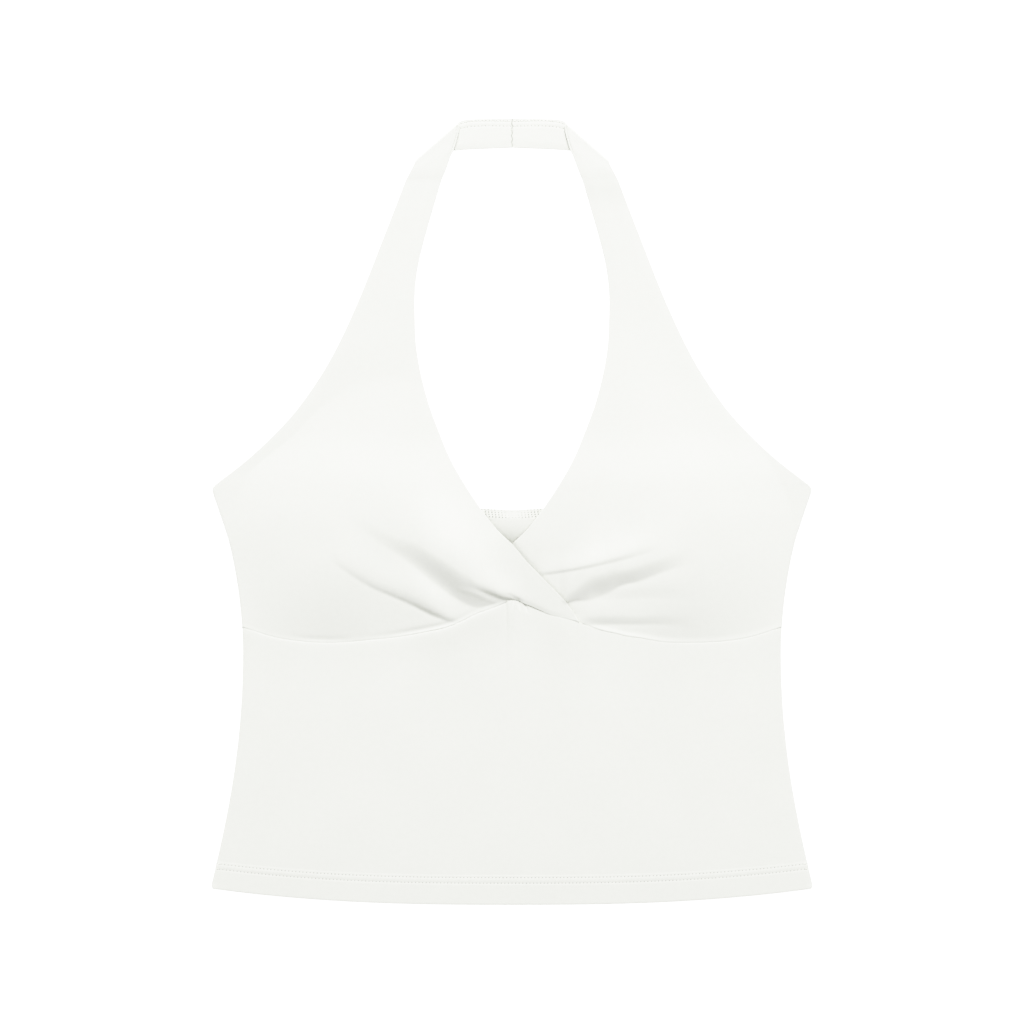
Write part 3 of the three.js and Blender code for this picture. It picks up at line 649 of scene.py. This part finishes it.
def cup(name, hand, level, mat, stitch_lines):
    """A cup, its strap and half of the neck band. hand is -1 for the over cup, 1 for the under cup."""
    radius = CUP_CLOTH / 2
    fold_radius = (STRAP_ON_BAND - CUP_ON_FLOOR) / 2
    inset = fold_radius + CAD_CUP / 2
    run = (FOLD_INNER - FOLD_OUTER) / np.linalg.norm(FOLD_INNER - FOLD_OUTER)
    inward = np.array((-abs(run[1]), -abs(run[0])))

    middles, outs, uvs, ends, needles = [], [], [], [], []

    def add(sides, ups, z, out, cloth_uv=None, needle=None):
        needles.append(no_needle(sides) if needle is None else needle)
        middles.append(np.stack([hand * sides, ups, z], axis=1))
        outs.append(np.tile(out, (len(sides), 1)))
        uvs.append(np.stack([hand * sides, ups], axis=1) if cloth_uv is None else cloth_uv)

    def surface(sides, ups):
        rounded = crowned(abs(sides - inner_edge(ups)), abs(outer_edge(ups) - sides))
        return level(hand * sides, ups) + rounded * smooth((ups - 300) / 60)

    # From the seam under the bust, bowed rows that straighten towards the V
    def seam_up(side):
        return bust_seam(hand * side) + SEAM_GAP

    bowed = BOWED_TOP_UP - SEAM_PEAK_UP
    for height in [0, 0, 0.25, 0.55] + spaced(0.9, bowed, 0.7):
        share = height / bowed

        def row_up(side):
            return mix(seam_up(side), BOWED_TOP_UP, share)

        outer = meet(row_up, outer_edge, SIDE_GUESS)
        inner = meet(row_up, inner_edge, mix(-LAP_END, 5.0, share))
        sides = outer - across_row(outer - inner, CUP_COLUMNS, EDGE_REACH, TOWARDS_V)
        ups = row_up(sides)
        add(sides, ups, surface(sides, ups), (0, 0, 1))
        ends.append(FAR)

    # Straight rows up the cup and the strap
    corner_low, corner_high = UNDERARM_UP - 4, UNDERARM_UP + 4
    straight = spaced(BOWED_TOP_UP, corner_low, 1.2) + spaced(corner_low, corner_high, 0.5)
    straight += spaced(corner_high, STRAP_TOP_UP, 3.0)
    for up in straight:
        outer, inner = outer_edge(np.array(up)), inner_edge(np.array(up))
        weight = TOWARDS_V * (1 - smooth((up - BOWED_TOP_UP) / 60))
        sides = outer - across_row(outer - inner, CUP_COLUMNS, EDGE_REACH, weight)
        ups = np.full_like(sides, up)
        add(sides, ups, surface(sides, ups), (0, 0, 1))
        ends.append(FAR)

    # The strap's rows turn towards the fold line beside the neck
    strap_outer = np.array((float(outer_edge(np.array(STRAP_TOP_UP))), STRAP_TOP_UP))
    strap_inner = np.array((float(inner_edge(np.array(STRAP_TOP_UP))), STRAP_TOP_UP))
    fold_outer = FOLD_OUTER + inward * inset
    fold_inner = FOLD_INNER + inward * inset

    for t in np.linspace(0, 1, 31):
        inner_point = mix(strap_inner, fold_inner, t) - np.array((float(curve(INNER_TURN, t)), 0))
        sides, ups, along, width = between(mix(strap_outer, fold_outer, t), inner_point)
        flat = smooth((t - 0.5) / 0.5)
        z = strap_level(ups) + crowned(along, width - along) * (1 - flat)
        z = mix(z, STRAP_ON_BAND, flat)
        z = z - TURNED_EDGE * np.exp(-(((width - along - 1.8) / 0.45) ** 2)) * smooth((t - 0.45) / 0.15)
        add(sides, ups, z, (0, 0, 1))
        ends.append(FAR)
    bends = 14
    for b in range(1, bends):
        angle = math.pi * b / bends
        shift = inset - fold_radius * math.sin(angle)
        corner = math.sin(angle)
        outer_end = FOLD_OUTER + inward * shift + run * FOLD_CORNER_OUTER * corner
        inner_end = FOLD_INNER + inward * shift - run * FOLD_CORNER_INNER * corner
        sides, ups, along, width = between(outer_end, inner_end)
        z = np.full_like(sides, (STRAP_ON_BAND + CUP_ON_FLOOR) / 2 + fold_radius * math.cos(angle))
        away = -inward
        out = (hand * away[0] * math.sin(angle), away[1] * math.sin(angle), math.cos(angle))
        add(sides, ups, z, out, np.stack([hand * sides, ups + 2 * fold_radius * b / bends], axis=1))
        ends.append(FAR)

    # Half of the neck band behind the strap, wrong side up
    shares = list(np.linspace(0, 0.97, 46)) + [0.98, 0.988]
    shares += list(1 - (radius * EDGE_STEPS[::-1]) / BAND_LENGTH)
    stitch_paths = [line[:, :2] for line in stitch_lines]
    for t in shares:
        shift = 1 - smooth(t * 14)
        lower = np.array([curve(BAND_LOWER, t, column) for column in (1, 2)])
        upper = np.array([curve(BAND_UPPER, t, column) for column in (1, 2)])
        lower = lower + (fold_outer - FOLD_OUTER) * shift
        upper = upper + (fold_inner - FOLD_INNER) * shift
        sides, ups, along, width = between(lower, upper)
        from_centre = (1 - t) * BAND_LENGTH
        rounded = crowned(along, width - along) * smooth(t * 4)
        z = CUP_ON_FLOOR + rounded + edge_dip(from_centre, 0.75, 0.45)
        sides = sides + hand * SEAM_WOBBLE * np.sin(ups * 1.4) * np.exp(-from_centre / 1.5)
        distances = [distance_to_path(hand * sides, ups, path) for path in stitch_paths]
        needle = needle_coordinates(hand * sides, distances, stitch_lines)
        for distance in distances:
            z = z + groove(distance)
        reflected = np.stack([hand * sides * 0.3 + ups, ups * 0.3 - hand * sides], axis=1)
        thickness_left = radius * round_edge(from_centre, radius)
        add(sides, ups, np.maximum(z, thickness_left + 0.02), (0, 0, -1), reflected, needle)
        ends.append(from_centre)

    middle, out, uv = np.array(middles), np.array(outs, float), np.array(uvs)
    steps = np.linalg.norm(np.diff(middle, axis=1), axis=2)
    from_outer = np.concatenate([np.zeros((len(middle), 1)), np.cumsum(steps, axis=1)], axis=1)
    from_inner = from_outer[:, -1:] - from_outer
    half = radius * round_edge(np.minimum(from_outer, from_inner), EDGE_REACH)
    half = half * round_edge(np.array(ends), radius)[:, None]
    half[0, :] = half[-1, :] = half[:, 0] = half[:, -1] = 0
    needle = np.array(needles)
    if hand > 0:
        middle, out, uv, half, needle = [grid[:, ::-1] for grid in (middle, out, uv, half, needle)]
    return cloth_piece(name, middle, out, half, uv, mat, needle)


def puckers(x, up):
    """Small creases in the front panel that run down from the centre of the seam."""
    centre = 4
    total = 0.0
    for foot_x, foot_up, depth, width in PUCKERS:
        top_up = float(bust_seam(foot_x))
        t = clamp01((up - foot_up) / (top_up - foot_up))
        lean = (foot_x - centre) * 0.35 * (1 - t)
        off = (x - foot_x * 0.8 - lean) / width
        total = total + depth * smooth(t) * (up < top_up + 1) * np.exp(-(off**2))
    return total


def hem_taper(x):
    return 1 - HEM_TAPER * (abs(x) / HEM_HALF_WIDTH) ** 2


def hem_row(x, distance):
    """A line at a distance above the hem, slightly nearer to it at the sides."""
    return hem(x) + distance * hem_taper(x)


def height_above_hem(x, up):
    """The inverse of hem_row."""
    return (up - hem(x)) / hem_taper(x)


def groove(distance, depth=0.14, width=0.8):
    return -depth * np.exp(-((distance / width) ** 2))


def panel_places(outer, count, towards_centre=0.0):
    """Places along a panel's row, from side to side, closer together at its ends."""
    t = np.linspace(-1, 1, count)
    t = mix(t, t**3, towards_centre)
    first = EDGE_REACH * EDGE_STEPS
    return np.concatenate([-outer + first, t * (outer - EDGE_REACH), (outer - first)[::-1]])


def panel_shell(name, middles, from_ends, needles, mat):
    """A panel's closed shell from its rows of middle points, rounded off at its sides and ends."""
    middle = np.array(middles)
    x = middle[:, :, 0]
    from_side = np.minimum(abs(x - x[:, :1]), abs(x - x[:, -1:]))
    half = PANEL_CLOTH / 2 * round_edge(np.minimum(from_side, np.array(from_ends)), EDGE_REACH)
    half[0, :] = half[-1, :] = half[:, 0] = half[:, -1] = 0
    out = np.zeros_like(middle)
    out[..., 2] = 1
    return cloth_piece(name, middle, out, half, middle[..., :2], mat, np.array(needles))


def front_panel(mat):
    hem_top = 30.0
    sewn_low, sewn_high = SEWN_ZONE
    hem_zone = list(EDGE_REACH * EDGE_STEPS) + spaced(EDGE_REACH, sewn_low, 1.2)
    hem_zone += spaced(sewn_low, sewn_high, 0.28) + spaced(sewn_high, hem_top, 1.2) + [hem_top]
    tall = SEAM_PEAK_UP - hem_top
    above = spaced(1.5, tall - 20, 3.0) + spaced(tall - 20, tall - 3, 0.8)
    above += spaced(tall - 3, tall - 0.2, 0.35) + [tall - 0.2, tall, tall]
    rows = [(d, 0.0) for d in hem_zone] + [(hem_top, a / tall) for a in above]
    middles, from_ends, needles = [], [], []
    for distance, share in rows:

        def row_up(side):
            return mix(hem_row(side, distance), bust_seam(side) - SEAM_GAP, share)

        outer = float(meet(row_up, outer_edge, SIDE_GUESS))
        x = panel_places(outer, FRONT_COLUMNS, 0.55 * share)
        up = row_up(x)
        from_side = outer - abs(x)
        z = panel_level(x, up) + puckers(x, up)
        z = z + edge_dip(from_side, 0.55, 2.5) * smooth((up - hem(x)) / 4)
        above_hem = height_above_hem(x, up)
        z = z + HEM_FOLD * (1 - smooth((above_hem - HEM_STITCH_ROWS[1]) / 2.2))
        for row in HEM_STITCH_ROWS:
            z = z + groove(above_hem - row)
        needles.append(needle_coordinates(x, [above_hem - row for row in HEM_STITCH_ROWS], hem_lines))
        middles.append(np.stack([x, up, z], axis=1))
        from_ends.append(above_hem)
    return panel_shell("front_panel_cloth", middles, from_ends, needles, mat)


def back_level(x, from_top):
    """Middle of the back panel: its turned top edge, and the swell that shows inside the V."""
    turned = 0.1 * (1 - smooth((from_top - 6) / 3))
    falling = soft_max(1 - (np.maximum(from_top - 8, 0) / 15) ** 2.2, 0.0, 0.15)
    swell = mix(0.5, 1, smooth(from_top / 8)) * falling
    return PANEL_CLOTH / 2 + 0.12 + turned + V_BULGE * swell * np.exp(-((x / 45) ** 2))


def back_panel(mat):
    tall = BACK_NECK_UP
    sewn_low, sewn_high = SEWN_ZONE
    heights = list(EDGE_REACH * EDGE_STEPS) + spaced(EDGE_REACH, sewn_low, 2.0)
    heights += spaced(sewn_low, sewn_high, 0.35) + spaced(sewn_high, tall - 26, 3.0)
    heights += spaced(tall - 26, tall - 9, 0.7)
    heights += spaced(tall - 9, tall - EDGE_REACH, 0.35)
    heights += list(tall - EDGE_REACH * EDGE_STEPS[::-1])
    middles, from_ends, needles = [], [], []
    for height in heights:
        share = smooth((height - 24) / (tall - 48))

        def row_up(side):
            return mix(hem_row(side, height), back_neck(side) - (tall - height), share)

        outer = float(meet(row_up, outer_edge, SIDE_GUESS))
        x = panel_places(outer, BACK_COLUMNS)
        up = row_up(x)
        from_top = back_neck(x) - up
        from_hem = height_above_hem(x, up)
        z = back_level(x, from_top)
        for row in HEM_STITCH_ROWS:
            z = z - groove(from_hem - row)
        middles.append(np.stack([x, up, z], axis=1))
        # Painted shade in the gaps between the looper threads of the top hem, through the Needle map: paler
        # near the centre, darker out towards the cups.
        paler = 0.45 * np.exp(-(((x - 1) / 9) ** 2))
        distances = np.array([np.hypot(from_top - row, offset + paler) for row, offset in LOOPER_ROWS])
        nearest = np.argmin(distances, axis=0)
        phase = x / LOOPER_PITCH + 0.12 * (nearest - 1)
        needles.append(np.stack([phase, np.min(distances, axis=0)], axis=1))
        from_ends.append(np.minimum(from_hem, from_top))
    return panel_shell("back_panel_cloth", middles, from_ends, needles, mat)


def tube(path, radius, sides=6):
    """Vertices and faces of a round thread along a path of points."""
    path = np.asarray(path, float)
    ahead = np.gradient(path, axis=0)
    ahead /= np.linalg.norm(ahead, axis=1)[:, None]
    across = np.cross(ahead, (0, 0, 1))
    across /= np.maximum(np.linalg.norm(across, axis=1), 1e-9)[:, None]
    upward = np.cross(across, ahead)
    angles = np.linspace(0, 2 * np.pi, sides, endpoint=False)
    ring = (across[:, None] * np.cos(angles)[None, :, None] + upward[:, None] * np.sin(angles)[None, :, None])
    vertices = (path[:, None] + ring * np.broadcast_to(radius, (len(path),))[:, None, None]).reshape(-1, 3)
    faces = []
    for i in range(len(path) - 1):
        for s in range(sides):
            n = (s + 1) % sides
            faces.append((i * sides + s, i * sides + n, (i + 1) * sides + n, (i + 1) * sides + s))
    faces.append(tuple(range(sides))[::-1])
    faces.append(tuple((len(path) - 1) * sides + s for s in range(sides)))
    return vertices, faces


def stitches(name, lines, mat, facing=1):
    """Rows of stitches, short threads that dip into the cloth at both ends. facing is -1 for an underside."""
    radius = THREAD / 2
    shares, heights, thicknesses = np.array(STITCH_FORM).T
    vertices, faces = [], []
    total = 0
    for line in lines:
        line = np.asarray(line, float)
        keys = np.concatenate([[0], np.cumsum(np.linalg.norm(np.diff(line, axis=0), axis=1))])
        starts = np.arange(first_stitch(keys[-1]), keys[-1] - STITCH_LENGTH + 0.01, STITCH_PITCH)
        for start in starts:
            at = start + STITCH_LENGTH * shares
            points = np.stack([np.interp(at, keys, line[:, k]) for k in range(3)], axis=1)
            points[:, 2] += facing * radius * heights
            part_vertices, part_faces = tube(points, radius * thicknesses)
            vertices.append(part_vertices)
            faces += [tuple(v + total for v in face) for face in part_faces]
            total += len(part_vertices)
    vertices = np.vstack(vertices)
    vertices[:, 1] -= LENGTH / 2
    return make_mesh(name, vertices, faces, vertices[:, :2], mat)


def lapped_line(xs, up_of, level_of, lift):
    """A line along the cloth, lifted off its middle."""
    ups = up_of(xs)
    return np.stack([xs, ups, level_of(xs, ups) + lift], axis=1)


def cover_threads(name, mat):
    """The looper threads of the cover stitch on the inside of the back panel's top hem."""
    middle_row = sum(BACK_TOP_ROWS) / 2
    reach = (BACK_TOP_ROWS[1] - BACK_TOP_ROWS[0]) / 2 + 0.35
    turns = int(LOOPER_REACH / LOOPER_PITCH)
    t = np.linspace(0, turns, turns * 22 + 1)
    angle = 2 * np.pi * t
    x = LOOPER_PITCH * (2 * t - turns) + 0.4 * np.sin(2 * angle)
    swing = np.cos(angle)
    swing = np.sign(swing) * abs(swing) ** 0.8
    up = back_neck(x) - middle_row + reach * swing
    above_cloth = LOOPER_RADIUS * (1 - abs(swing) * 0.6)
    z = back_level(x, back_neck(x) - up) + PANEL_CLOTH / 2 + above_cloth
    vertices, faces = tube(np.stack([x, up, z], axis=1), LOOPER_RADIUS, 5)
    vertices[:, 1] -= LENGTH / 2
    return make_mesh(name, vertices, faces, vertices[:, :2], mat)


WHITE = (0.755, 0.763, 0.722)
# Its needle-hole setting paints shade at the needle holes of the hem and neck stitch rows.
jersey = material("jersey", WHITE, hole=(0.55, 0.5, 0.45))
# The back panel's inner face: the same white, a shade darker as painted shade for the hollow inside the V.
wrong_side_shaded = tuple(c * 0.985 for c in WHITE)
# Its needle-hole setting paints dark shade in the gaps between the looper threads.
jersey_back = material("jersey_wrong_side", wrong_side_shaded, roughness=0.86, hole=(0.72, 0.75, 0.7))
thread_white = material("thread", tuple(c * 1.04 for c in WHITE), roughness=0.6, sheen=0.1, knit=False)

hem_lines = []
for row in HEM_STITCH_ROWS:
    half_width = float(outer_edge(np.array(float(hem_row(200.0, row)))))
    xs = np.linspace(1.2 - half_width, half_width - 1.2, 500)
    hem_lines.append(lapped_line(xs, lambda x: hem_row(x, row), panel_level, PANEL_CLOTH / 2 + STITCH_LIFT))
neck_lines = {}
for hand in (-1, 1):
    paths = [dense_path([(hand * side, up) for side, up in row]) for row in NECK_STITCH_ROWS]
    neck_level = CUP_ON_FLOOR + CUP_CLOTH / 2 + STITCH_LIFT
    neck_lines[hand] = [np.column_stack([path, np.full(len(path), neck_level)]) for path in paths]


def back_stitch_lines():
    """The needle threads' rows on the back panel's outer face, which lies downwards."""
    lift = -PANEL_CLOTH / 2 - STITCH_LIFT

    def level(x, up):
        return back_level(x, back_neck(x) - up)

    xs = hem_lines[0][:, 0]
    lines = [lapped_line(xs, lambda x: hem_row(x, row), level, lift - groove(0.0)) for row in HEM_STITCH_ROWS]
    xs = np.linspace(-203.0, 203.0, 500)
    lines += [lapped_line(xs, lambda x: back_neck(x) - row, level, lift) for row in BACK_TOP_ROWS]
    return lines


over = cup("over_cup_cloth", -1, over_surface, jersey, neck_lines[-1])
under = cup("under_cup_cloth", 1, under_surface, jersey, neck_lines[1])
front = front_panel(jersey)
back = back_panel(jersey_back)
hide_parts("over_cup")
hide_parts("under_cup")
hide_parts("front_panel")
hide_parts("back_panel")

hem_thread = stitches("hem_stitches", hem_lines, thread_white)
neck_thread = stitches("neck_stitches", neck_lines[-1] + neck_lines[1], thread_white)
cover_thread = cover_threads("back_top_cover_stitch", thread_white)
back_thread = stitches("back_stitches", back_stitch_lines(), thread_white, facing=-1)

# Floor, light and camera, in metres
FLOOR_GREY = (0.6, 0.6, 0.6, 1)
FLOOR_GLOW = 0.75
WORLD_LIGHT = 0.5
KEY_PLACE = (0.25, 3.1, 3.2)
KEY_SIZE = 2.2
KEY_POWER = 147
LENS = 120
SENSOR = 36
PICTURE_WIDTH = 1024 * 0.7 * MM
CAMERA_SHIFT = -0.00025

floor_mesh = bpy.data.meshes.new("floor")
floor_mesh.from_pydata([(-4, -4, 0), (4, -4, 0), (4, 4, 0), (-4, 4, 0)], [], [(0, 1, 2, 3)])
floor = bpy.data.objects.new("floor", floor_mesh)
floor.location.z = -0.0002
bpy.context.collection.objects.link(floor)
floor_mat = bpy.data.materials.new("floor_paper")
floor_mat.use_nodes = True
floor_shader = floor_mat.node_tree.nodes["Principled BSDF"]
floor_shader.inputs["Base Color"].default_value = FLOOR_GREY
floor_shader.inputs["Roughness"].default_value = 0.95
floor_shader.inputs["Specular IOR Level"].default_value = 0.0
floor_shader.inputs["Emission Color"].default_value = (1, 1, 1, 1)
floor_shader.inputs["Emission Strength"].default_value = FLOOR_GLOW
floor_mesh.materials.append(floor_mat)

world = bpy.data.worlds.new("studio")
bpy.context.scene.world = world
world.use_nodes = True
world.node_tree.nodes["Background"].inputs["Color"].default_value = (1, 1, 1, 1)
world.node_tree.nodes["Background"].inputs["Strength"].default_value = WORLD_LIGHT


def area_light(name, position, size, power):
    """A square light that faces the middle of the top."""
    data = bpy.data.lights.new(name, "AREA")
    data.shape = "SQUARE"
    data.size = size
    data.energy = power
    light = bpy.data.objects.new(name, data)
    light.location = position
    light.rotation_mode = "QUATERNION"
    light.rotation_quaternion = (-light.location).to_track_quat("-Z", "Y")
    bpy.context.collection.objects.link(light)


area_light("key", KEY_PLACE, KEY_SIZE, KEY_POWER)

camera_data = bpy.data.cameras.new("camera")
camera_data.sensor_width = SENSOR
camera_data.lens = LENS
camera = bpy.data.objects.new("camera", camera_data)
camera.location = (0, CAMERA_SHIFT, PICTURE_WIDTH * LENS / SENSOR)
camera_data.clip_start = 0.1
camera_data.clip_end = 20
bpy.context.collection.objects.link(camera)
bpy.context.scene.camera = camera
bpy.context.scene.view_settings.view_transform = "Standard"
bpy.context.scene.view_settings.look = "None"

# A studio's print curve: whites are held just under pure white, and the floor reaches it
tone = bpy.context.scene.view_settings
tone.use_curve_mapping = True
tone_curve = tone.curve_mapping.curves[3]
TONE = [(0.25, 0.27), (0.4, 0.5), (0.525, 0.70), (0.60, 0.785), (0.675, 0.858), (0.74, 0.908), (0.80, 0.942),
        (0.838, 0.957), (0.87, 0.972), (0.91, 0.986), (0.95, 0.994)]
for light_in, light_out in TONE:
    tone_curve.points.new(light_in, light_out)
tone.curve_mapping.update()
